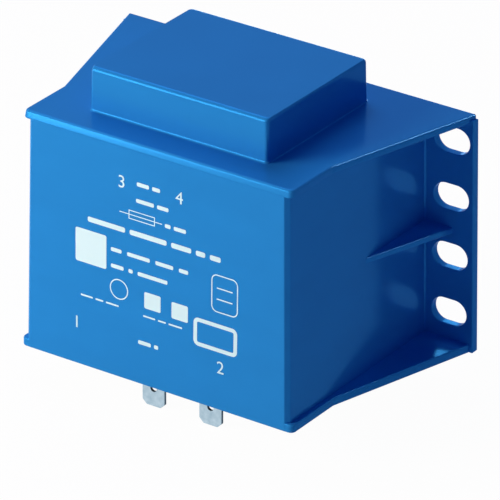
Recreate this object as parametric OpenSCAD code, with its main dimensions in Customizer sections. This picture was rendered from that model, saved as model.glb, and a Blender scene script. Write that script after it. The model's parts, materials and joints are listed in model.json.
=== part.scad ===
// Encapsulated mains transformer: an EI core and two-chamber coil potted in a
// moulded housing with a rear mounting flange and four blade tabs underneath.
// Millimetres, +Z up. The origin is the centre of the underside, at the board
// plane; the front face looks along -Y and the flange stands at the rear.

/* [Core] */
// Width of the laminations
core_w = 66; // [60:0.5:76]
// Depth of an E lamination and its I bar together
core_d = 55; // [48:0.5:64]
// Height of the lamination stack
stack_h = 44; // [36:0.5:54]
// Width of the centre leg
centre_leg_w = 22; // [18:0.5:24]
// Width of each winding window
window_w = 11; // [9.5:0.25:12.5]
// Length of each winding window
window_l = 33; // [30:0.5:38]

/* [Coil] */
// Thickness of the bobbin's tube and flanges
bobbin_t = 1; // [0.8:0.1:1.4]
// Gap between the bobbin and the core
bobbin_gap = 0.2; // [0.1:0.05:0.4]
// Corner radius of the bobbin's flanges
bobbin_corner_r = 2; // [1:0.5:4]
// Build-up of the primary winding
primary_build = 8; // [6:0.25:8.5]
// Build-up of the secondary winding
secondary_build = 8.3; // [6:0.1:8.6]
// Thickness of the tape round each winding
tape_t = 0.3; // [0.15:0.05:0.5]
// Height of the terminal rails under the yokes
rail_h = 6; // [4:0.5:7]
// Length of each terminal rail across the body
rail_w = 40; // [32:1:44]
// Gap between a terminal rail and the core above it
rail_gap = 0.5; // [0.2:0.1:1]

/* [Blade tabs] */
// Width of a tab
tab_w = 6.3; // [4.8:0.1:7]
// Thickness of a tab
tab_t = 0.8; // [0.5:0.05:1]
// Length of a tab below the board plane
tab_drop = 8; // [6:0.25:11]
// Distance from the front or rear face to the middle of a tab
tab_inset = 5.5; // [4.5:0.25:7]
// Distance between the two tabs of a pair
tab_pitch = 16.2; // [12:0.1:20]
// Offset of each pair from the middle of the body
tab_offset = 4; // [-4:0.5:4.5]
// Width of the tab's root inside its rail
tab_root_w = 3.6; // [2.4:0.2:4.4]
// Height of the tab's root inside its rail
tab_root_h = 4; // [2:0.5:5]
// Width of the cut-off corners at the tip
tip_chamfer_w = 1.5; // [0.8:0.1:2]
// Height of the cut-off corners at the tip
tip_chamfer_h = 1.3; // [0.6:0.1:2]
// Diameter of the hole in a tab
tab_hole_d = 1.8; // [1.2:0.1:2.4]
// Distance from the tip to the middle of the hole
tab_hole_up = 4.7; // [3.6:0.1:5.4]

/* [Leads] */
// Diameter of the primary leads
primary_lead_d = 0.8; // [0.5:0.1:1.4]
// Diameter of the secondary leads
secondary_lead_d = 2; // [1.2:0.1:2.2]
// Clearance round a lead where it passes the bobbin
lead_gap = 0.2; // [0.1:0.05:0.4]

/* [Housing] */
// Thickness of the walls
wall_t = 1.4; // [1.1:0.1:2.2]
// Thickness of the roof and of the hat's roof
roof_t = 1.6; // [1.2:0.1:2.4]
// Resin between the core and each side wall, at the roof
side_gap = 1.95; // [0.6:0.05:4]
// Resin between the core and the front and rear walls, at the roof
end_gap = 0.15; // [0.1:0.05:2]
// Resin between the core and the roof
roof_gap = 0.4; // [0.2:0.1:1]
// Resin under the bobbin
base_cover = 4.3; // [2:0.1:6]
// Inward lean of each side wall over its height
side_draft = 1.05; // [0.4:0.05:1.4]
// Backward lean of the front wall over its height
front_draft = 0.9; // [0.4:0.05:1.3]
// Radius of the front upright corners
corner_r = 1.8; // [1.4:0.1:4]

/* [Hat] */
// Resin between the bobbin and each side wall of the hat
hat_side_gap = 1.5; // [0.4:0.05:2.5]
// Resin between the bobbin and the hat's front and rear walls
hat_end_gap = 2.55; // [0.6:0.1:4]
// Resin between the bobbin and the hat's roof
hat_roof_gap = 0.6; // [0.3:0.1:1.5]
// Inward lean of the hat's walls over their height
hat_draft = 0.2; // [0.1:0.05:0.6]
// Radius of the hat's upright corners
hat_corner_r = 0.9; // [0.6:0.1:4]
// Radius of the hat's upper edges
hat_edge_r = 1; // [0.4:0.1:1.3]
// Size of the fillet at the hat's foot
hat_foot = 0.5; // [0.2:0.1:1.2]

/* [Top and bottom lips] */
// Thickness of the bottom lip
lip_t = 2.2; // [1.6:0.1:3.2]
// Thickness of the top lip
top_lip_t = 1.9; // [1.4:0.1:3.2]
// Radius of the lips' front corners
lip_corner_r = 1.4; // [1:0.1:4]
// Projection of the lips past the side walls
lip_side = 1.25; // [0.6:0.05:2]
// Projection of the top lip past the front wall
lip_front = 0.3; // [0.1:0.05:0.8]
// Distance from the front face to where the lips start to flare
flare_start = 16.8; // [10:0.2:26]

/* [Mounting flange] */
// Reach of the flange past each side wall, at the bottom
flange_reach = 12.8; // [12.2:0.1:16]
// Thickness of the flange
flange_t = 2.1; // [1.6:0.1:3]
// Projection of the flange's edge past the lips
flange_proud = 0.6; // [0.2:0.05:1.2]
// Step from the top lip's face down to the top of the flange
flange_step = 1.1; // [0.4:0.1:1.5]
// Length of a slot
slot_l = 9.6; // [8:0.1:10.4]
// Width of a slot
slot_w = 6.5; // [4.3:0.1:7]
// Distance from the side wall to the middle of a slot
slot_out = 6.6; // [6.1:0.1:7.2]
// Height of the lowest slot above the board plane
slot_low = 9.2; // [7:0.1:11]
// Distance between the two lower and between the two upper slots
slot_pair_pitch = 14.6; // [12:0.1:16]
// Distance between the two middle slots
slot_mid_pitch = 15.3; // [12:0.1:17]
// Thickness of the gusset between the middle slots
gusset_t = 1.5; // [1:0.1:2.4]
// Length of the gusset along the side wall
gusset_l = 24.9; // [15:0.1:32]
// Reach of the gusset along the flange
gusset_reach = 7.8; // [5:0.1:11]

/* [Hidden] */
$fn = 48;
hull_fn = 32;       // facets of the round corners inside a hull
skin = 0.01;        // height of a slice that only guides a hull
over = 1;           // how far a cutting shape runs past the face it cuts

housing_blue = [0.13, 0.44, 0.78];
resin_grey = [0.16, 0.17, 0.19];
steel = [0.55, 0.57, 0.60];
bobbin_white = [0.88, 0.87, 0.82];
copper = [0.72, 0.38, 0.18];
tape_yellow = [0.87, 0.73, 0.26];
tin = [0.74, 0.78, 0.80];

// Core
yoke = (core_d - window_l) / 2;
outer_leg_w = (core_w - centre_leg_w) / 2 - window_w;

// Bobbin, measured from the middle of the coil
tube_w = centre_leg_w + 2 * (bobbin_gap + bobbin_t);
tube_h = stack_h + 2 * (bobbin_gap + bobbin_t);
bobbin_over = window_w - bobbin_gap;
bobbin_w = centre_leg_w + 2 * bobbin_over;
bobbin_h = stack_h + 2 * bobbin_over;
bobbin_l = window_l - 2 * bobbin_gap;
chamber_l = (bobbin_l - 3 * bobbin_t) / 2;

// Heights
core_low = base_cover + bobbin_over;
core_top = core_low + stack_h;
coil_mid = core_low + stack_h / 2;
body_h = core_top + roof_gap + roof_t;
hat_top = core_top + bobbin_over + hat_roof_gap + roof_t;
rail_top = core_low - rail_gap;
rail_low = rail_top - rail_h;

// Plan
body_w = core_w + 2 * (side_gap + side_draft + wall_t);
body_d = core_d + 2 * (end_gap + wall_t) + front_draft;
front = -body_d / 2;
rear = body_d / 2;
core_front = front + front_draft + wall_t + end_gap;
coil_y = core_front + core_d / 2;
hat_w = bobbin_w + 2 * (hat_side_gap + wall_t + hat_draft);
hat_d = bobbin_l + 2 * (hat_end_gap + wall_t + hat_draft);
flange_face = rear - flange_t;
slot_x = body_w / 2 + slot_out;
slot_rows = [
  slot_low,
  slot_low + slot_pair_pitch,
  slot_low + slot_pair_pitch + slot_mid_pitch,
  slot_low + 2 * slot_pair_pitch + slot_mid_pitch
];

// Tabs: a pair near the front wall and a pair near the rear wall
tab_left = tab_offset - tab_pitch / 2;
tab_right = tab_offset + tab_pitch / 2;
front_tab_y = front + tab_inset;
rear_tab_y = rear - tab_inset;

function side_at(z) = body_w / 2 - side_draft * z / body_h;
function front_at(z) = front + front_draft * z / body_h;
function winding_low(build) = coil_mid - tube_h / 2 - build;
function lead_z(build, d) = winding_low(build) + d / 2 + lead_gap;

// Rectangle centred on the origin with round corners
module rounded_rect(w, h, r) {
  square([w - 2 * r, h], center = true);
  square([w, h - 2 * r], center = true);
  for (x = [-1, 1], y = [-1, 1])
    translate([x * (w / 2 - r), y * (h / 2 - r)]) circle(r);
}

// A flat profile drawn in X and Z, given depth from y0 to y1
module along_y(y0, y1) {
  translate([0, y1, 0]) rotate([90, 0, 0]) linear_extrude(y1 - y0) children();
}

// A flat profile drawn in Y and Z, given width from x0 to x1
module along_x(x0, x1) {
  translate([x0, 0, 0]) rotate([90, 0, 90]) linear_extrude(x1 - x0) children();
}

// ---------------------------------------------------------------- housing

// Outline of the body at height z: round front corners, square rear corners
module body_outline(z) {
  half = side_at(z);
  y0 = front_at(z);
  polygon([
    [-half + corner_r, y0], [half - corner_r, y0], [half, y0 + corner_r],
    [half, rear], [-half, rear], [-half, y0 + corner_r]
  ]);
  for (s = [-1, 1])
    translate([s * (half - corner_r), y0 + corner_r]) circle(corner_r, $fn = hull_fn);
}

module body_block() {
  hull() {
    linear_extrude(skin) body_outline(0);
    translate([0, 0, body_h - skin]) linear_extrude(skin) body_outline(body_h);
  }
}

// Outline of a lip: parallel to the side walls, then flaring to the flange
module lip_outline(z, y0) {
  half = side_at(z) + lip_side;
  r = lip_corner_r;
  corner = side_at(z) + flange_reach;
  polygon([
    [-half + r, y0], [half - r, y0], [half, y0 + r], [half, front + flare_start],
    [corner, rear], [-corner, rear], [-half, front + flare_start], [-half, y0 + r]
  ]);
  for (s = [-1, 1])
    translate([s * (half - r), y0 + r]) circle(r);
}

module lips() {
  linear_extrude(lip_t) lip_outline(0, front);
  translate([0, 0, body_h - top_lip_t]) linear_extrude(top_lip_t)
    lip_outline(body_h, front_at(body_h) - lip_front);
}

// Upright plate across the rear, its edges just proud of the lips
module flange_plate() {
  top = body_h - flange_step;
  low_half = side_at(0) + flange_reach + flange_proud;
  top_half = side_at(top) + flange_reach + flange_proud;
  along_y(flange_face, rear)
    polygon([[-low_half, 0], [low_half, 0], [top_half, top], [-top_half, top]]);
}

module slot_cut(x, z) {
  span = slot_l - slot_w;
  translate([x, rear + over, z]) rotate([90, 0, 0]) {
    for (s = [-1, 1])
      translate([s * span / 2, 0, 0]) cylinder(d = slot_w, h = flange_t + 2 * over);
    translate([-span / 2, -slot_w / 2, 0]) cube([span, slot_w, flange_t + 2 * over]);
  }
}

// Level web that stiffens the flange, halfway up
module gusset(side) {
  z = body_h / 2;
  wall_x = side_at(z);
  translate([0, 0, z - gusset_t / 2]) linear_extrude(gusset_t)
    polygon([
      [side * (wall_x - wall_t / 2), flange_face - gusset_l],
      [side * wall_x, flange_face - gusset_l],
      [side * (wall_x + gusset_reach), flange_face],
      [side * (wall_x + gusset_reach), flange_face + flange_t / 2],
      [side * (wall_x - wall_t / 2), flange_face + flange_t / 2]
    ]);
}

// One level slice of the hat, grown or shrunk by a margin
module hat_slice(z, margin) {
  translate([0, coil_y, z]) linear_extrude(skin)
    rounded_rect(hat_w + 2 * margin, hat_d + 2 * margin, hat_corner_r, $fn = hull_fn);
}

module hat_block() {
  hull() {
    hat_slice(body_h - roof_t / 2, 0);
    for (a = [0:22.5:90])
      hat_slice(hat_top - hat_edge_r * (1 - sin(a)) - skin, -hat_draft - hat_edge_r * (1 - cos(a)));
  }
  hull() {
    hat_slice(body_h - skin, hat_foot);
    hat_slice(body_h + hat_foot, 0);
  }
}

// Inside of the body, from just below the board plane up to the roof
module body_cavity() {
  low = -over;
  top = body_h - roof_t;
  intersection() {
    along_y(front, rear)
      polygon([
        [-side_at(low) + wall_t, low], [side_at(low) - wall_t, low],
        [side_at(top) - wall_t, top], [-side_at(top) + wall_t, top]
      ]);
    along_x(-body_w / 2, body_w / 2)
      polygon([
        [front_at(low) + wall_t, low], [rear - wall_t, low],
        [rear - wall_t, top], [front_at(top) + wall_t, top]
      ]);
  }
}

// Inside of the hat, open to the body below
module hat_cavity() {
  w = hat_w - 2 * (hat_draft + wall_t);
  d = hat_d - 2 * (hat_draft + wall_t);
  z0 = body_h - roof_t - over;
  translate([-w / 2, coil_y - d / 2, z0]) cube([w, d, hat_top - roof_t - z0]);
}

module housing() {
  color(housing_blue) difference() {
    union() {
      body_block();
      lips();
      flange_plate();
      hat_block();
      for (side = [-1, 1]) gusset(side);
    }
    body_cavity();
    hat_cavity();
    for (side = [-1, 1], z = slot_rows) slot_cut(side * slot_x, z);
  }
}

module potting_compound() {
  color(resin_grey) difference() {
    intersection() {
      union() {
        body_cavity();
        hat_cavity();
      }
      translate([-body_w / 2, front, 0]) cube([body_w, body_d, hat_top]);
    }
    e_lamination_stack();
    i_lamination_stack();
    coil_bobbin();
    primary_winding();
    secondary_winding();
    primary_tape();
    secondary_tape();
    primary_tab_left();
    primary_tab_right();
    secondary_tab_left();
    secondary_tab_right();
    primary_lead_left();
    primary_lead_right();
    secondary_lead_left();
    secondary_lead_right();
  }
}

// ---------------------------------------------------------------- core

module e_lamination_stack() {
  color(steel) translate([0, 0, core_low]) linear_extrude(stack_h) {
    translate([-core_w / 2, core_front]) square([core_w, yoke]);
    for (s = [-1, 1])
      translate([s * (core_w - outer_leg_w) / 2 - outer_leg_w / 2, core_front])
        square([outer_leg_w, core_d - yoke]);
    translate([-centre_leg_w / 2, core_front]) square([centre_leg_w, core_d - yoke]);
  }
}

module i_lamination_stack() {
  color(steel) translate([-core_w / 2, core_front + core_d - yoke, core_low])
    cube([core_w, yoke, stack_h]);
}

// ---------------------------------------------------------------- coil

// Ring round the bobbin's tube, between two build-ups, along one chamber
module coil_ring(y0, inner, outer) {
  translate([0, 0, coil_mid]) along_y(y0, y0 + chamber_l) difference() {
    rounded_rect(tube_w + 2 * outer, tube_h + 2 * outer, outer);
    if (inner > 0)
      rounded_rect(tube_w + 2 * inner, tube_h + 2 * inner, inner);
    else
      square([tube_w, tube_h], center = true);
  }
}

coil_front = coil_y - bobbin_l / 2;
primary_y = coil_front + bobbin_t;
secondary_y = primary_y + chamber_l + bobbin_t;

module primary_winding() {
  color(copper) coil_ring(primary_y, 0, primary_build);
}

module secondary_winding() {
  color(copper) coil_ring(secondary_y, 0, secondary_build);
}

module primary_tape() {
  color(tape_yellow) coil_ring(primary_y, primary_build, primary_build + tape_t);
}

module secondary_tape() {
  color(tape_yellow) coil_ring(secondary_y, secondary_build, secondary_build + tape_t);
}

// Notch that lets a lead pass the end flange and the rail, open downwards
module lead_notch(x, y0, y1, build, d) {
  w = d + 2 * lead_gap;
  top = lead_z(build, d) + d / 2 + lead_gap;
  translate([x - w / 2, y0, coil_mid - bobbin_h / 2 - over])
    cube([w, y1 - y0, top - (coil_mid - bobbin_h / 2 - over)]);
}

// Terminal rail from one end flange out past the tabs
module terminal_rail(y0, y1) {
  translate([-rail_w / 2, y0, rail_low]) cube([rail_w, y1 - y0, rail_h]);
}

module tab_socket(x, y) {
  translate([x - tab_root_w / 2, y - tab_t / 2, rail_low]) cube([tab_root_w, tab_t, tab_root_h]);
}

module coil_bobbin() {
  coil_rear = coil_front + bobbin_l;
  rail_lip = tab_inset / 2 - wall_t / 2;
  color(bobbin_white) difference() {
    union() {
      translate([0, 0, coil_mid]) along_y(coil_front, coil_rear) square([tube_w, tube_h], center = true);
      for (y = [coil_front, primary_y + chamber_l, coil_rear - bobbin_t])
        translate([0, 0, coil_mid]) along_y(y, y + bobbin_t)
          rounded_rect(bobbin_w, bobbin_h, bobbin_corner_r);
      terminal_rail(front_tab_y - rail_lip, coil_front);
      terminal_rail(coil_rear, rear_tab_y + rail_lip);
    }
    translate([0, 0, coil_mid]) along_y(coil_front - over, coil_rear + over)
      square([centre_leg_w + 2 * bobbin_gap, stack_h + 2 * bobbin_gap], center = true);
    for (x = [tab_left, tab_right]) {
      tab_socket(x, front_tab_y);
      tab_socket(x, rear_tab_y);
      lead_notch(x, front_tab_y, primary_y, primary_build, primary_lead_d);
      lead_notch(x, coil_rear - bobbin_t, rear_tab_y, secondary_build, secondary_lead_d);
    }
  }
}

// ---------------------------------------------------------------- tabs

// Flat blade with cut corners and a hole, and a narrow root above its shoulders
module blade_tab(x, y) {
  color(tin) translate([x, 0, 0]) along_y(y - tab_t / 2, y + tab_t / 2) difference() {
    polygon([
      [-tab_w / 2 + tip_chamfer_w, -tab_drop], [tab_w / 2 - tip_chamfer_w, -tab_drop],
      [tab_w / 2, -tab_drop + tip_chamfer_h], [tab_w / 2, rail_low],
      [tab_root_w / 2, rail_low], [tab_root_w / 2, rail_low + tab_root_h],
      [-tab_root_w / 2, rail_low + tab_root_h], [-tab_root_w / 2, rail_low],
      [-tab_w / 2, rail_low], [-tab_w / 2, -tab_drop + tip_chamfer_h]
    ]);
    translate([0, -tab_drop + tab_hole_up]) circle(d = tab_hole_d);
  }
}

module primary_tab_left() { blade_tab(tab_left, front_tab_y); }
module primary_tab_right() { blade_tab(tab_right, front_tab_y); }
module secondary_tab_left() { blade_tab(tab_left, rear_tab_y); }
module secondary_tab_right() { blade_tab(tab_right, rear_tab_y); }

// ---------------------------------------------------------------- leads

// Straight lead between a tab's face and its winding
module lead(x, y0, y1, build, d) {
  color(copper) translate([x, y1, lead_z(build, d)]) rotate([90, 0, 0])
    cylinder(d = d, h = y1 - y0);
}

module primary_lead(x) {
  lead(x, front_tab_y + tab_t / 2, primary_y, primary_build, primary_lead_d);
}

module secondary_lead(x) {
  lead(x, secondary_y + chamber_l, rear_tab_y - tab_t / 2, secondary_build, secondary_lead_d);
}

module primary_lead_left() { primary_lead(tab_left); }
module primary_lead_right() { primary_lead(tab_right); }
module secondary_lead_left() { secondary_lead(tab_left); }
module secondary_lead_right() { secondary_lead(tab_right); }

housing();
potting_compound();
e_lamination_stack();
i_lamination_stack();
coil_bobbin();
primary_winding();
secondary_winding();
primary_tape();
secondary_tape();
primary_tab_left();
primary_tab_right();
secondary_tab_left();
secondary_tab_right();
primary_lead_left();
primary_lead_right();
secondary_lead_left();
secondary_lead_right();
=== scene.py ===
"""Looks of the potted transformer: a dressed housing, rounded blade tabs, print and studio."""

import json
import math

import bmesh
import bpy
from mathutils import Matrix, Vector


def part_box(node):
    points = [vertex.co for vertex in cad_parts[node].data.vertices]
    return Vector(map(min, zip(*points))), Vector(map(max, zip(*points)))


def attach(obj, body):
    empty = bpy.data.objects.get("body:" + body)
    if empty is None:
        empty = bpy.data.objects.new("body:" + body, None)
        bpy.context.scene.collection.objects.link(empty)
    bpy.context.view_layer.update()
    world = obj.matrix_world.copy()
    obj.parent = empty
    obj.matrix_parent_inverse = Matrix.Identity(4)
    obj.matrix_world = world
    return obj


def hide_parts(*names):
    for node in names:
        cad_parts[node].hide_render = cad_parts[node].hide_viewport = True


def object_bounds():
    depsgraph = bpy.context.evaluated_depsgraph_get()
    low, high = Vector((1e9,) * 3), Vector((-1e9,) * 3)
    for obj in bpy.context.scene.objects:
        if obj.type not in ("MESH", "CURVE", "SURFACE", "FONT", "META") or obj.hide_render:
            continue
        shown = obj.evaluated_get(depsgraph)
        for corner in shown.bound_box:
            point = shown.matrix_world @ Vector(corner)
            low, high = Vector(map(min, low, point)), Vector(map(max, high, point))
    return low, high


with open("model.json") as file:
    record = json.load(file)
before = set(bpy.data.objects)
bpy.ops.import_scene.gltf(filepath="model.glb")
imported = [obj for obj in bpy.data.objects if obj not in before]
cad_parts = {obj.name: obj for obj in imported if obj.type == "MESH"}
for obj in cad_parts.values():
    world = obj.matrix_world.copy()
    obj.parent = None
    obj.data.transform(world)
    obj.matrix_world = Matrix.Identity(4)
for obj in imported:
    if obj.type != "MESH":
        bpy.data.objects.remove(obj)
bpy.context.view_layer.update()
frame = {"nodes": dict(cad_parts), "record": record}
nodes = frame["nodes"]
scene = bpy.context.scene

# ------------------------------------------------------------------ sizes, millimetres
# X runs to the right, -Y is the front, Z is up from the board. The housing's box gives its ends.
MM = 0.001
housing_low, housing_high = [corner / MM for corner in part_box("housing")]
FRONT = housing_low.y
REAR = housing_high.y
HAT_TOP = housing_high.z
BODY_H = 61.1
BODY_HALF = 37.4
SIDE_DRAFT = 1.05
FRONT_DRAFT = 0.9
FOOT_EDGE_R = 0.4
CORNER_CUT = 1.05
CORNER_CUT_R = 0.5
WALL_T = 1.4
ROOF_T = 1.6
CUT_PAST = 1.0     # how far a cutting tool reaches past the face it leaves by
SINK = 0.02        # how far one solid keeps behind another's face, so that no faces coincide

HAT_W = 49.8
HAT_D = 40.9
HAT_Y = 0.45
HAT_DRAFT = 0.2
HAT_CORNER_R = 0.9
HAT_EDGE_R = 1.1
HAT_FOOT_R = 0.6
HAT_ROOT = 0.4
HAT_SIDE_SHARE = 0.15

LIP_SIDE = 1.25
LIP_FRONT = 0.3
LIP_T = 2.2
TOP_LIP_T = 1.9
LIP_CORNER_R = 1.4
LIP_REAR_R = 0.4
LIP_REAR_REACH = 13.0
LIP_EDGE_R = 0.35
LIP_TOP_EDGE_R = 0.5
TOP_LIP_LEAN = 0.57
FLARE_START = 16.8
FLARE_R = 2.0

FLANGE_T = 2.1
FLANGE_FACE = REAR - FLANGE_T
FLANGE_REACH = 12.8
FLANGE_PROUD = 0.6
FLANGE_DROP = 1.1
FLANGE_TOP = BODY_H - FLANGE_DROP
FLANGE_EDGE_R = 0.3
FLANGE_REAR_EDGE_R = 0.15
COVE_R = 0.5

SLOT_X = 44.0
SLOT_L = 9.6
SLOT_W = 6.5
SLOT_ROWS = (9.2, 23.8, 39.1, 53.7)
SLOT_END_R = SLOT_W / 2 - 0.01      # a hair less than half, so that its two arcs don't touch
SLOT_RIM_R = 0.3
SLOT_REAR_RIM_R = 0.25

GUSSET_Z = BODY_H / 2
GUSSET_T = 1.5
GUSSET_L = 24.9
GUSSET_REACH = 7.8
GUSSET_EDGE_R = 0.3
GUSSET_TIP_R = 0.3
GUSSET_ROOT = 0.5      # depth of its end inside the flange
GUSSET_ROOT_L = 0.4    # extra length of its edge inside the wall
GUSSET_ROOT_R = 0.1

TAB_ROOT_HALF = 1.8
TAB_ROOT_H = 4.0
TAB_STEP_R = 0.1
TAB_TIP_CUT_W = 1.2
TAB_TIP_CUT_H = 1.15
TAB_TIP_R = 0.35
TAB_SIDE_R = 0.5
TAB_EDGE_R = 0.09
TAB_HOLE_R = 0.9
TAB_HOLE_ARC_R = TAB_HOLE_R - 0.001      # a hair less, so that its four arcs don't touch
TAB_HOLE_UP = 4.7

PRINT_LIFT = 0.025
PRINT_DEPTH = 0.06
STROKE = 0.28
SMALL_BAR = 0.42
BAR = 1.0
DIGIT_SHARE = 0.7      # a figure's height as a share of its font size


def side_at(z):
    """Half width of the drafted body at a height."""
    return BODY_HALF - SIDE_DRAFT * z / BODY_H


def front_at(z):
    """Y of the drafted front face at a height."""
    return FRONT + FRONT_DRAFT * z / BODY_H


# ------------------------------------------------------------------ shape helpers
ARC_STEPS = 8
EDGE_STEPS = 5
SMALLEST_R = 0.04


def add_object(name, data):
    """New object in the scene for a mesh, a curve, a light or a camera."""
    made = bpy.data.objects.new(name, data)
    scene.collection.objects.link(made)
    return made


def solid_from(name, bm):
    """Object from a bmesh, with all its faces turned outwards."""
    bmesh.ops.recalc_face_normals(bm, faces=bm.faces)
    mesh = bpy.data.meshes.new(name)
    bm.to_mesh(mesh)
    bm.free()
    return add_object(name, mesh)


def evaluated_mesh(obj):
    """New mesh that holds what the object's curve or modifiers make."""
    bpy.context.view_layer.update()
    return bpy.data.meshes.new_from_object(
        obj.evaluated_get(bpy.context.evaluated_depsgraph_get()))


def outline(corners, inset=0.0):
    """Closed outline with a round arc at each (x, y, radius) corner, counter-clockwise, moved inwards."""
    points = []
    for i, (x, y, radius) in enumerate(corners):
        before = Vector(corners[i - 1][:2])
        here = Vector((x, y))
        after = Vector(corners[(i + 1) % len(corners)][:2])
        u = (here - before).normalized()
        v = (after - here).normalized()
        u_left = Vector((-u.y, u.x))
        v_left = Vector((-v.y, v.x))
        here = here + (u_left + v_left) * inset / (1 + u_left.dot(v_left))
        turn = math.atan2(u.x * v.y - u.y * v.x, u.dot(v))
        bend = 1 if turn > 0 else -1
        r = max(radius - bend * inset, SMALLEST_R)
        centre = here - u * r * math.tan(abs(turn) / 2) + u_left * r * bend
        spoke = -u_left * r * bend
        for step in range(ARC_STEPS + 1):
            angle = turn * step / ARC_STEPS
            points.append((
                centre.x + spoke.x * math.cos(angle) - spoke.y * math.sin(angle),
                centre.y + spoke.x * math.sin(angle) + spoke.y * math.cos(angle)))
    return points


def around(count):
    """Pairs of neighbours round a closed ring."""
    return [(i, (i + 1) % count) for i in range(count)]


def mirrored(half, about=0.0):
    """Corners of a right half, followed by the same corners on the left."""
    return half + [(2 * about - x, y, r) for x, y, r in reversed(half)]


def rectangle(x, y, w, h, r):
    """Corners of a rectangle round the point x, y."""
    return [
        (x - w / 2, y - h / 2, r), (x + w / 2, y - h / 2, r),
        (x + w / 2, y + h / 2, r), (x - w / 2, y + h / 2, r)]


def loft(name, rings):
    """Closed solid through rings of 3-D points, millimetres."""
    bm = bmesh.new()
    rows = [[bm.verts.new([c * MM for c in point]) for point in ring] for ring in rings]
    for low, high in zip(rows, rows[1:]):
        for i, j in around(len(low)):
            bm.faces.new((low[i], low[j], high[j], high[i]))
    bm.faces.new(reversed(rows[0]))
    bm.faces.new(rows[-1])
    return solid_from(name, bm)


def edge_steps(start, end, r_start, r_end, steps=EDGE_STEPS):
    """(position, inset) pairs along a solid whose two ends have round edges; a negative radius flares."""
    pairs = []
    for k in range(steps + 1):
        angle = math.pi / 2 * k / steps
        pairs.append((start + abs(r_start) * (1 - math.cos(angle)), r_start * (1 - math.sin(angle))))
    for k in range(steps + 1):
        angle = math.pi / 2 * (1 - k / steps)
        pairs.append((end - abs(r_end) * (1 - math.cos(angle)), r_end * (1 - math.sin(angle))))
    return pairs


def upright(name, corners_at, z0, z1, r_low, r_top):
    """Solid that stands on its outline: corners_at(z) gives the outline at each height."""
    rings = []
    for z, inset in edge_steps(z0, z1, r_low, r_top):
        rings.append([(x, y, z) for x, y in outline(corners_at(z), inset)])
    return loft(name, rings)


def ring_at(y, corners, inset):
    """Outline drawn in X and Z, at one depth."""
    return [(x, y, z) for x, z in outline(corners, inset)]


def along_y(name, corners, y0, y1, r_edge):
    """Solid drawn in X and Z, from y0 to y1, with round edges at both ends."""
    return loft(name, [ring_at(y, corners, inset) for y, inset in edge_steps(y0, y1, r_edge, r_edge)])


def opening_tool(name, corners, y0, y1, r_front, r_rear, steps=EDGE_STEPS):
    """Cutter for an opening from y0 to y1 whose rims are round on both faces."""
    rings = [ring_at(y0 - CUT_PAST, corners, -r_front)]
    for y, inset in edge_steps(y0, y1, -r_front, -r_rear, steps):
        rings.append(ring_at(y, corners, inset))
    rings.append(ring_at(y1 + CUT_PAST, corners, -r_rear))
    return loft(name, rings)


def combine(target, tools, operation):
    """Joins or cuts target with each tool and removes the tools."""
    for tool in tools:
        step = target.modifiers.new("step", "BOOLEAN")
        step.operation = operation
        step.solver = "MANIFOLD"
        step.object = tool
    made = evaluated_mesh(target)
    target.modifiers.clear()
    target.data = made
    for tool in tools:
        bpy.data.objects.remove(tool)


def shade(obj, angle=30):
    """Smooth shading that keeps real edges sharp and flat faces flat."""
    for face in obj.data.polygons:
        face.use_smooth = True
    obj.data.set_sharp_from_angle(angle=math.radians(angle))
    weighted = obj.modifiers.new("weighted", "WEIGHTED_NORMAL")
    weighted.keep_sharp = True
    weighted.weight = 100
    made = evaluated_mesh(obj)
    obj.modifiers.clear()
    obj.data = made


# ------------------------------------------------------------------ housing
def shell_corners(z):
    """Body and flange in one outline, with a flat cut at the front and a small cove at the flange."""
    side = side_at(z)
    front = front_at(z)
    edge = side + FLANGE_REACH + FLANGE_PROUD
    return mirrored([
        (side - CORNER_CUT, front, CORNER_CUT_R),
        (side, front + CORNER_CUT, CORNER_CUT_R),
        (side, FLANGE_FACE, COVE_R),
        (edge, FLANGE_FACE, FLANGE_EDGE_R),
        (edge, REAR, FLANGE_REAR_EDGE_R)])


def lip_corners(z, front_y):
    """A lip follows the body and then flares out to the flange."""
    return mirrored([
        (side_at(z) + LIP_SIDE, front_y, LIP_CORNER_R),
        (side_at(z) + LIP_SIDE, FRONT + FLARE_START, FLARE_R),
        (side_at(z) + LIP_REAR_REACH, REAR - SINK, LIP_REAR_R)])


def bottom_lip_corners(z):
    return lip_corners(z, front_at(z) + SINK)


def top_lip_corners(z):
    """The top lip's front leans back a little from its lower edge."""
    lean = TOP_LIP_LEAN * (z - BODY_H + TOP_LIP_T) / TOP_LIP_T
    return lip_corners(z, front_at(BODY_H) - LIP_FRONT + lean)


def hat_corners(z, inset):
    """The hat's side edges are sharper than its front and rear ones, by HAT_SIDE_SHARE."""
    lean = HAT_DRAFT * (z - BODY_H) / (HAT_TOP - BODY_H)
    x = HAT_W / 2 - lean - inset * HAT_SIDE_SHARE
    y = HAT_D / 2 - lean - inset
    return [
        (x, HAT_Y - y, HAT_CORNER_R), (x, HAT_Y + y, HAT_CORNER_R),
        (-x, HAT_Y + y, HAT_CORNER_R), (-x, HAT_Y - y, HAT_CORNER_R)]


def make_hat():
    """Raised hat with a concave fillet at its foot and a round upper edge."""
    rings = [[(x, y, BODY_H - HAT_ROOT) for x, y in outline(hat_corners(BODY_H, -HAT_FOOT_R))]]
    for z, inset in edge_steps(BODY_H, HAT_TOP, -HAT_FOOT_R, HAT_EDGE_R, steps=7):
        rings.append([(x, y, z) for x, y in outline(hat_corners(z, inset))])
    return loft("hat", rings)


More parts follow.
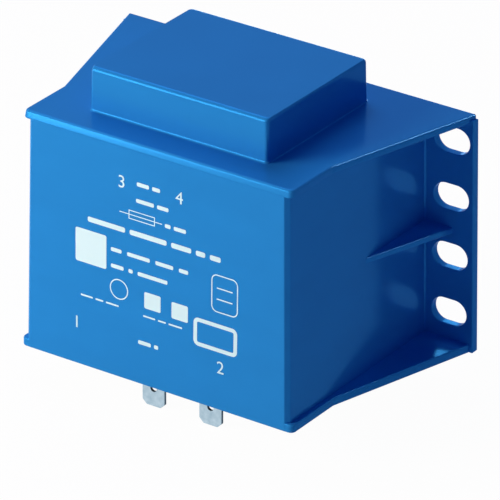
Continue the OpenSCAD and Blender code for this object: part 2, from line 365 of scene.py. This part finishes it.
def make_gusset(side):
    """Triangular rib between wall and flange; side is 1 on the right and -1 on the left."""
    wall = side_at(GUSSET_Z)
    inside = wall - WALL_T / 2
    tip = wall + GUSSET_REACH
    front = FLANGE_FACE - GUSSET_L
    corners = [
        (inside, front - GUSSET_ROOT_L, GUSSET_ROOT_R),
        (wall, front, GUSSET_TIP_R),
        (tip, FLANGE_FACE, GUSSET_TIP_R),
        (tip, FLANGE_FACE + GUSSET_ROOT, GUSSET_ROOT_R),
        (inside, FLANGE_FACE + GUSSET_ROOT, GUSSET_ROOT_R)]
    if side < 0:
        corners = [(-x, y, r) for x, y, r in reversed(corners)]
    return upright(
        "gusset", lambda z: corners,
        GUSSET_Z - GUSSET_T / 2, GUSSET_Z + GUSSET_T / 2, GUSSET_EDGE_R, GUSSET_EDGE_R)


def make_slot_tool(x, z):
    return opening_tool(
        "slot_tool", rectangle(x, z, SLOT_L, SLOT_W, SLOT_END_R),
        FLANGE_FACE, REAR, SLOT_RIM_R, SLOT_REAR_RIM_R)


def make_cavities():
    """Inside of the body and of the hat, the same as the cast resin's outside."""
    roof = BODY_H - ROOF_T
    rings = []
    for z in (-CUT_PAST, roof):
        x = side_at(z) - WALL_T
        front = front_at(z) + WALL_T
        rear = REAR - WALL_T
        rings.append([(-x, front, z), (x, front, z), (x, rear, z), (-x, rear, z)])
    body = loft("body_cavity", rings)
    x = HAT_W / 2 - HAT_DRAFT - WALL_T
    y = HAT_D / 2 - HAT_DRAFT - WALL_T
    hat = loft("hat_cavity", [
        [(-x, HAT_Y - y, z), (x, HAT_Y - y, z), (x, HAT_Y + y, z), (-x, HAT_Y + y, z)]
        for z in (roof - CUT_PAST, HAT_TOP - ROOF_T)])
    return [body, hat]


def make_housing():
    """One thin-walled shell: body with flange, two lips, hat and gussets, then its openings."""
    shell = upright("housing_shell", shell_corners, 0, FLANGE_TOP, FOOT_EDGE_R, FLANGE_EDGE_R)
    bottom_lip = upright("bottom_lip", bottom_lip_corners, 0, LIP_T, FOOT_EDGE_R, LIP_EDGE_R)
    top_lip = upright(
        "top_lip", top_lip_corners, BODY_H - TOP_LIP_T, BODY_H, LIP_EDGE_R, LIP_TOP_EDGE_R)
    combine(shell, [bottom_lip, top_lip, make_hat(), make_gusset(1), make_gusset(-1)], "UNION")
    slot_tools = [make_slot_tool(side * SLOT_X, z) for side in (-1, 1) for z in SLOT_ROWS]
    combine(shell, make_cavities() + slot_tools, "DIFFERENCE")
    shade(shell)
    return shell


# ------------------------------------------------------------------ tabs
def make_tab(name):
    """Blade with stamped, slightly round edges in place of the CAD blade."""
    low, high = [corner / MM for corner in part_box(name)]
    x = (low.x + high.x) / 2
    blade_half = (high.x - low.x) / 2
    shoulder = high.z - TAB_ROOT_H
    corners = mirrored([
        (x + blade_half - TAB_TIP_CUT_W, low.z, TAB_TIP_R),
        (x + blade_half, low.z + TAB_TIP_CUT_H, TAB_SIDE_R),
        (x + blade_half, shoulder, TAB_STEP_R),
        (x + TAB_ROOT_HALF, shoulder, TAB_STEP_R),
        (x + TAB_ROOT_HALF, high.z, TAB_STEP_R)], about=x)
    tab = along_y(name + "_blade", corners, low.y, high.y, TAB_EDGE_R)
    hole_w = 2 * TAB_HOLE_R
    hole = rectangle(x, low.z + TAB_HOLE_UP, hole_w, hole_w, TAB_HOLE_ARC_R)
    tool = opening_tool("tab_hole", hole, low.y, high.y, TAB_EDGE_R, TAB_EDGE_R, steps=3)
    combine(tab, [tool], "DIFFERENCE")
    shade(tab)
    return tab


# ------------------------------------------------------------------ print
def on_front(x, z, lift):
    """Point over the leaning front face, as far out as lift."""
    return Vector((x, front_at(z) - lift, z)) * MM


def add_film(bm, loops):
    """Thin closed film on the front face: one loop is a field, two loops are a frame."""
    def points_at(lift):
        return [[bm.verts.new(on_front(x, z, lift)) for x, z in loop] for loop in loops]

    tops = points_at(PRINT_LIFT)
    backs = points_at(PRINT_LIFT - PRINT_DEPTH)
    ring = around(len(loops[0]))
    for top, back in zip(tops, backs):
        for i, j in ring:
            bm.faces.new((top[i], top[j], back[j], back[i]))
    for layer in (tops, backs):
        if len(layer) == 1:
            bm.faces.new(layer[0])
            continue
        outer, inner = layer
        for i, j in ring:
            bm.faces.new((outer[i], outer[j], inner[j], inner[i]))


def add_field(bm, x, z, w, h, r=0.1):
    add_film(bm, [outline(rectangle(x, z, w, h, r))])


def add_frame(bm, corners, stroke=STROKE):
    add_film(bm, [outline(corners), outline(corners, stroke)])


def add_bars(bm, x, z, lengths, thick=BAR, gap=0.9):
    """Row of bars from x to the right, in place of a line of words."""
    for length in lengths:
        add_field(bm, x + length / 2, z, length, thick, thick / 3)
        x += length + gap


def add_number(bm, text, x, z, height=3.1):
    """A plain number, its middle at x and z."""
    curve = bpy.data.curves.new("number", "FONT")
    curve.body = text
    curve.size = height / DIGIT_SHARE
    curve.align_x = "CENTER"
    curve.extrude = PRINT_DEPTH / 2
    curve.resolution_u = 6
    text_object = add_object("number", curve)
    mesh = evaluated_mesh(text_object)
    for vertex in mesh.vertices:
        right, up, out = vertex.co
        vertex.co = on_front(x + right, z - height / 2 + up, PRINT_LIFT - PRINT_DEPTH / 2 + out)
    bm.from_mesh(mesh)
    bpy.data.objects.remove(text_object)


def make_print():
    """Terminal numbers, bars and plain outlines on the front face."""
    bm = bmesh.new()
    # One number for each terminal.
    for text, x, z in (("3", -9.6, 50.6), ("4", 6.6, 51.0), ("1", -22.4, 11.0), ("2", 18.4, 11.1)):
        add_number(bm, text, x, z)
    # Upper lines, and a line through a rectangle.
    add_bars(bm, -5.3, 51.1, (3.4, 2.2))
    add_bars(bm, -5.5, 46.9, (5.0, 3.2))
    add_frame(bm, rectangle(-3.9, 42.9, 7.4, 2.3, 0.1), 0.22)
    add_field(bm, -4.2, 42.9, 12.0, 0.22, 0.05)
    add_bars(bm, 2.6, 42.8, (1.6, 3.4))
    # The long line, a plain field and the two lines beside it.
    add_bars(bm, -19.2, 38.4, (10.6, 10.4, 5.6, 2.6, 3.0), 1.3, 1.3)
    add_field(bm, -18.3, 31.2, 8.8, 8.6, 0.5)
    add_bars(bm, -12.6, 32.6, (3.0, 6.4, 5.0, 2.6), gap=1.6)
    add_bars(bm, -12.6, 28.4, (3.6, 1.2, 8.4), gap=1.4)
    # A ring and two squares, each with small bars below.
    add_frame(bm, rectangle(-10.3, 22.8, 5.2, 5.2, 2.59))
    add_bars(bm, -21.2, 18.4, (3.4, 2.2, 3.6), SMALL_BAR, 0.8)
    add_field(bm, -0.8, 22.2, 4.6, 4.2, 0.4)
    add_field(bm, 6.9, 21.9, 4.6, 4.2, 0.4)
    add_bars(bm, -3.4, 18.0, (3.4, 2.2, 3.8), SMALL_BAR, 0.8)
    # Two rounded frames, the upper one with two lines in it.
    add_frame(bm, rectangle(19.4, 29.8, 7.4, 9.6, 1.6))
    add_field(bm, 19.4, 31.2, 4.4, 0.3)
    add_field(bm, 19.4, 28.4, 4.4, 0.3)
    add_frame(bm, rectangle(16.9, 18.5, 12.2, 7.2, 1.4), 1.0)
    # The lowest line.
    add_bars(bm, -4.8, 10.9, (3.6, 1.2))
    return solid_from("front_print", bm)


# ------------------------------------------------------------------ material helpers
NOISE_LOW = 0.3       # most of a noise texture's values lie between these two
NOISE_HIGH = 0.7


def set_inputs(tree, node, inputs):
    """Gives each named input its value, or links it to another node's output."""
    for key, value in inputs.items():
        if isinstance(value, bpy.types.NodeSocket):
            tree.links.new(value, node.inputs[key])
        else:
            node.inputs[key].default_value = value


def add_node(tree, kind, inputs, **settings):
    node = tree.nodes.new(kind)
    for key, value in settings.items():
        setattr(node, key, value)
    set_inputs(tree, node, inputs)
    return node


def new_material(name, base, roughness, metallic=0.0, specular=0.5, tint=(1, 1, 1)):
    """Material with one even value for each input; noises may replace some of them later."""
    mat = bpy.data.materials.new(name)
    mat.use_nodes = True
    tree = mat.node_tree
    shader = tree.nodes["Principled BSDF"]
    set_inputs(tree, shader, {
        "Base Color": (*base, 1),
        "Roughness": roughness,
        "Metallic": metallic,
        "Specular IOR Level": specular,
        "Specular Tint": (*tint, 1)})
    return mat, tree, shader


def noise(tree, scale, detail=4.0, stretch=(1, 1, 1)):
    """Noise in object space; the scale counts per metre."""
    coords = add_node(tree, "ShaderNodeTexCoord", {})
    mapping = add_node(tree, "ShaderNodeMapping", {
        "Vector": coords.outputs["Object"], "Scale": stretch})
    texture = add_node(tree, "ShaderNodeTexNoise", {
        "Vector": mapping.outputs["Vector"], "Scale": scale, "Detail": detail})
    return texture.outputs["Fac"]


def spread(tree, source, low, high):
    """Maps a noise onto values from low to high."""
    ramp = add_node(tree, "ShaderNodeMapRange", {
        "Value": source, "From Min": NOISE_LOW, "From Max": NOISE_HIGH, "To Min": low, "To Max": high})
    return ramp.outputs["Result"]


def colour_between(tree, source, low, high):
    """Colour that a noise moves between low and high."""
    mix = add_node(tree, "ShaderNodeMix", {
        "Factor": spread(tree, source, 0, 1), "A": (*low, 1), "B": (*high, 1)}, data_type="RGBA")
    return mix.outputs["Result"]


def bump(tree, source, strength, depth_mm):
    node = add_node(tree, "ShaderNodeBump", {
        "Height": source, "Strength": strength, "Distance": depth_mm * MM})
    return node.outputs["Normal"]


# ------------------------------------------------------------------ materials
def moulded_blue():
    """Moulded blue polyamide: even colour, soft sheen, faint flow marks."""
    mat, tree, shader = new_material(
        "moulded_blue", (0.021, 0.25, 0.62), 0.17, metallic=0.11, specular=0.012, tint=(0.1, 0.5, 1.0))
    flow = noise(tree, 45, detail=3, stretch=(1, 1, 2.5))
    grain = noise(tree, 900, detail=5)
    pores = noise(tree, 2600, detail=3)
    set_inputs(tree, shader, {
        "Base Color": colour_between(tree, flow, (0.0205, 0.243, 0.605), (0.0215, 0.257, 0.635)),
        "Roughness": spread(tree, grain, 0.14, 0.2),
        "Normal": bump(tree, pores, 0.12, 0.02)})
    return mat


def white_print():
    """Matt printing ink, a little blue in the white."""
    mat, tree, shader = new_material("white_print", (0.64, 0.94, 0.95), 0.45, specular=0.2)
    speck = noise(tree, 5000, detail=2)
    set_inputs(tree, shader, {"Roughness": spread(tree, speck, 0.38, 0.52)})
    return mat


def tinned_metal():
    """Cloudy tin plating with faint upright rolling marks."""
    mat, tree, shader = new_material("tinned", (0.42, 0.56, 0.66), 0.34, metallic=1.0)
    cloud = noise(tree, 350, detail=5)
    mottle = noise(tree, 700, detail=6)
    rolling = noise(tree, 1800, stretch=(1, 1, 0.2))
    set_inputs(tree, shader, {
        "Base Color": colour_between(tree, mottle, (0.36, 0.50, 0.60), (0.48, 0.62, 0.72)),
        "Roughness": spread(tree, cloud, 0.28, 0.42),
        "Normal": bump(tree, rolling, 0.2, 0.02)})
    return mat


def cut_edge_painted_shade():
    """Dull, streaked edge of the tabs, where the plated sheet was cut; its dark blue colour is painted
    shade.
    """
    # The dark blue colour is painted shade on the cut edge, not the bare metal's own colour.
    mat, tree, shader = new_material("cut_edge_painted_shade", (0.045, 0.095, 0.15), 0.5, metallic=0.6, specular=0.2)
    streaks = noise(tree, 1, detail=3, stretch=(2500, 600, 300))
    set_inputs(tree, shader, {
        "Roughness": spread(tree, streaks, 0.4, 0.62),
        "Normal": bump(tree, streaks, 0.3, 0.03)})
    return mat


def cast_resin():
    """Near black casting resin with a slightly wavy surface."""
    mat, tree, shader = new_material("cast_resin", (0.022, 0.025, 0.03), 0.35, specular=0.4)
    sheen = noise(tree, 160)
    waves = noise(tree, 220, detail=6)
    set_inputs(tree, shader, {
        "Roughness": spread(tree, sheen, 0.28, 0.5),
        "Normal": bump(tree, waves, 0.3, 0.15)})
    return mat


def laminated_steel():
    """Stack of sheets: fine level lines round the stack."""
    mat, tree, shader = new_material("laminated_steel", (0.33, 0.34, 0.36), 0.38, metallic=0.9)
    lines = noise(tree, 1, detail=2, stretch=(20, 20, 2000))
    set_inputs(tree, shader, {
        "Base Color": colour_between(tree, lines, (0.24, 0.25, 0.27), (0.42, 0.43, 0.45)),
        "Roughness": spread(tree, lines, 0.28, 0.55),
        "Normal": bump(tree, lines, 0.5, 0.1)})
    return mat


def enamelled_copper():
    """Enamelled wire: fine lines round the coil."""
    mat, tree, shader = new_material("enamelled_copper", (0.52, 0.19, 0.07), 0.3, metallic=0.9)
    turns = noise(tree, 1, detail=2, stretch=(30, 1600, 30))
    set_inputs(tree, shader, {
        "Base Color": colour_between(tree, turns, (0.42, 0.14, 0.05), (0.60, 0.24, 0.09)),
        "Roughness": spread(tree, turns, 0.24, 0.4),
        "Normal": bump(tree, turns, 0.6, 0.2)})
    return mat


def polyester_tape():
    """Glossy yellow tape, drawn tight over the coil with shallow waves."""
    mat, tree, shader = new_material("polyester_tape", (0.72, 0.50, 0.05), 0.25)
    sheen = noise(tree, 120)
    waves = noise(tree, 90, detail=2)
    set_inputs(tree, shader, {
        "Roughness": spread(tree, sheen, 0.18, 0.36),
        "Normal": bump(tree, waves, 0.3, 0.2)})
    return mat


def natural_nylon():
    """Uncoloured nylon of the bobbin, with a fine moulding grain."""
    mat, tree, shader = new_material("natural_nylon", (0.74, 0.71, 0.60), 0.45, specular=0.45)
    sheen = noise(tree, 400)
    grain = noise(tree, 1500)
    set_inputs(tree, shader, {
        "Roughness": spread(tree, sheen, 0.38, 0.55),
        "Normal": bump(tree, grain, 0.15, 0.03)})
    return mat


# ------------------------------------------------------------------ dressing
finishes = {
    "housing": moulded_blue(),
    "resin": cast_resin(),
    "steel": laminated_steel(),
    "bobbin": natural_nylon(),
    "copper": enamelled_copper(),
    "tape": polyester_tape(),
    "tin": tinned_metal()}


def dress(obj, *materials):
    obj.data.materials.clear()
    for material in materials:
        obj.data.materials.append(material)


def dress_tab(tab, face_finish, cut_edge_shade_finish):
    """Plated faces, and a darker cut edge where the sheet was cut: duller bare metal, with painted shade
    in its dark blue colour.
    """
    dress(tab, face_finish, cut_edge_shade_finish)
    for face in tab.data.polygons:
        face.material_index = 1 if abs(face.normal.y) < 0.5 else 0


for part in frame["record"]["subparts"]:
    dress(nodes[part["node"]], finishes[part["material_slot"]])

housing = make_housing()
dress(housing, finishes["housing"])
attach(housing, "root")
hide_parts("housing")

film = make_print()
dress(film, white_print())
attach(film, "root")

# Cut edges of the tabs: duller metal, with painted shade in their dark blue colour.
cut_edge_shade_finish = cut_edge_painted_shade()
for name in [node_name for node_name in nodes if "_tab_" in node_name]:
    tab = make_tab(name)
    dress_tab(tab, finishes["tin"], cut_edge_shade_finish)
    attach(tab, "root")
    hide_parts(name)

# ------------------------------------------------------------------ camera
AIM = Vector((6.0, 0.4, 25.5)) * MM
VIEW_AZIMUTH = math.radians(34.683)
VIEW_ELEVATION = math.radians(26.714)
VIEW_ROLL = math.radians(0.163)
VIEW_DISTANCE = 1359.7 * MM
LENS = 420.1      # lens and sensor in millimetres
SENSOR = 36
CLIP_END = 20


def direction(azimuth, elevation):
    """Unit vector from the object; azimuth 0 is the front (-Y), 90 degrees is +X."""
    return Vector((
        math.sin(azimuth) * math.cos(elevation),
        -math.cos(azimuth) * math.cos(elevation),
        math.sin(elevation)))


def make_camera():
    camera = add_object("camera", bpy.data.cameras.new("camera"))
    back = direction(VIEW_AZIMUTH, VIEW_ELEVATION)
    right = Vector((0, 0, 1)).cross(back).normalized()
    up = back.cross(right)
    turn = Matrix.Rotation(VIEW_ROLL, 3, back)
    axes = Matrix((turn @ right, turn @ up, back)).transposed()
    camera.matrix_world = Matrix.Translation(AIM + back * VIEW_DISTANCE) @ axes.to_4x4()
    camera.data.lens = LENS
    camera.data.sensor_width = SENSOR
    camera.data.clip_end = CLIP_END
    scene.camera = camera


# ------------------------------------------------------------------ background
WHITE = (1, 1, 1, 1)
FLOOR_SIZE = 6
FLOOR_PAINT = (0.9, 0.9, 0.9, 1)
FLOOR_GLOW = 0.975
FILL_COLOUR = (0.04, 0.22, 1, 1)
FILL_STRENGTH = 0.15


def background_share(tree, strength):
    """Strength for the rays that show the background: from the eye, off a sheen or through glass."""
    rays = add_node(tree, "ShaderNodeLightPath", {}).outputs
    seen = add_node(tree, "ShaderNodeMath", {
        0: rays["Is Camera Ray"], 1: rays["Is Glossy Ray"]}, operation="MAXIMUM")
    shown = add_node(tree, "ShaderNodeMath", {
        0: seen.outputs[0], 1: rays["Is Transmission Ray"]}, operation="MAXIMUM")
    share = add_node(tree, "ShaderNodeMath", {0: shown.outputs[0], 1: strength}, operation="MULTIPLY")
    return share.outputs[0]


def make_floor():
    """Pale floor that shows nearly white to the eye and keeps a faint shadow."""
    bpy.ops.mesh.primitive_plane_add(size=FLOOR_SIZE, location=(0, 0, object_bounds()[0][2]))
    floor = bpy.context.object
    floor.name = "floor"
    mat = bpy.data.materials.new("floor_white")
    mat.use_nodes = True
    tree = mat.node_tree
    tree.nodes.clear()
    paper = add_node(tree, "ShaderNodeBsdfDiffuse", {"Color": FLOOR_PAINT})
    glow = add_node(tree, "ShaderNodeEmission", {"Color": WHITE})
    mix = add_node(tree, "ShaderNodeMixShader", {
        0: background_share(tree, FLOOR_GLOW), 1: paper.outputs[0], 2: glow.outputs[0]})
    add_node(tree, "ShaderNodeOutputMaterial", {"Surface": mix.outputs[0]})
    floor.data.materials.append(mat)


def make_world():
    """White where the background shows, and a weak blue fill for the light on the object."""
    world = bpy.data.worlds.new("studio")
    scene.world = world
    world.use_nodes = True
    tree = world.node_tree
    tree.nodes.clear()
    white = add_node(tree, "ShaderNodeBackground", {"Color": WHITE, "Strength": 1.0})
    fill = add_node(tree, "ShaderNodeBackground", {"Color": FILL_COLOUR, "Strength": FILL_STRENGTH})
    mix = add_node(tree, "ShaderNodeMixShader", {
        0: background_share(tree, 1.0), 1: fill.outputs[0], 2: white.outputs[0]})
    add_node(tree, "ShaderNodeOutputWorld", {"Surface": mix.outputs[0]})


# ------------------------------------------------------------------ lamps
FLARE = (LIP_REAR_REACH - LIP_SIDE, REAR - FRONT - FLARE_START, 0)


def add_light(name, shape, power, colour):
    light = bpy.data.lights.new(name, "AREA")
    light.shape = shape
    light.energy = power
    light.color = colour
    return add_object(name, light)


def make_lamp(name, azimuth, elevation, distance, size, power, colour):
    """Round lamp that faces the object; distance and size in metres, angles in degrees."""
    lamp = add_light(name, "DISK", power, colour)
    lamp.data.size = size
    back = direction(math.radians(azimuth), math.radians(elevation))
    lamp.location = AIM + back * distance
    lamp.rotation_euler = back.to_track_quat("Z", "Y").to_euler()


def make_card(name, centre, along, back, length, width, power, colour, spread_angle=180):
    """Small card near the object, in millimetres, that shows in the sheen and adds no other light.

    Its length runs along, and it shines away from back.
    """
    card = add_light(name, "RECTANGLE", power, colour)
    card.data.size = length * MM
    card.data.size_y = width * MM
    card.data.spread = math.radians(spread_angle)
    z_axis = Vector(back).normalized()
    x_axis = (Vector(along) - Vector(along).dot(z_axis) * z_axis).normalized()
    axes = Matrix((x_axis, z_axis.cross(x_axis), z_axis)).transposed()
    card.matrix_world = Matrix.LocRotScale(Vector(centre) * MM, axes, None)
    card.visible_diffuse = False


make_camera()
make_floor()
make_lamp(
    "key", azimuth=-42, elevation=18, distance=0.62, size=0.36, power=4.3, colour=(1.0, 0.81, 0.71))
make_lamp(
    "back_left", azimuth=-135, elevation=55, distance=1.6, size=1.1, power=9.4, colour=(0.8, 0.72, 1.0))
make_lamp(
    "back_right", azimuth=155, elevation=46, distance=1.6, size=0.5, power=0.6, colour=(0.2, 0.8, 1.0))
# Behind the part and near its top: it mirrors in the slots' floors and the bottom lip.
make_card(
    "low_card", centre=(-33, 134, 70), along=(0.8, 0.55, 0), back=(-0.58, 0.8, 0.4),
    length=120, width=35, power=0.1, colour=(0.55, 0.9, 0.8))
# Above the right upper lip, where the lip's edge mirrors it into the camera: it draws the thin
# light line on the flared edge. Its narrow spread keeps it off the hat's top in other views.
make_card(
    "rim_card", centre=(80, 34, 102), along=FLARE, back=(0.5865, 0.429, 0.6868),
    length=50, width=20, power=0.0125, colour=(1.0, 0.27, 0.2), spread_angle=40)
make_world()
scene.view_settings.view_transform = "Standard"
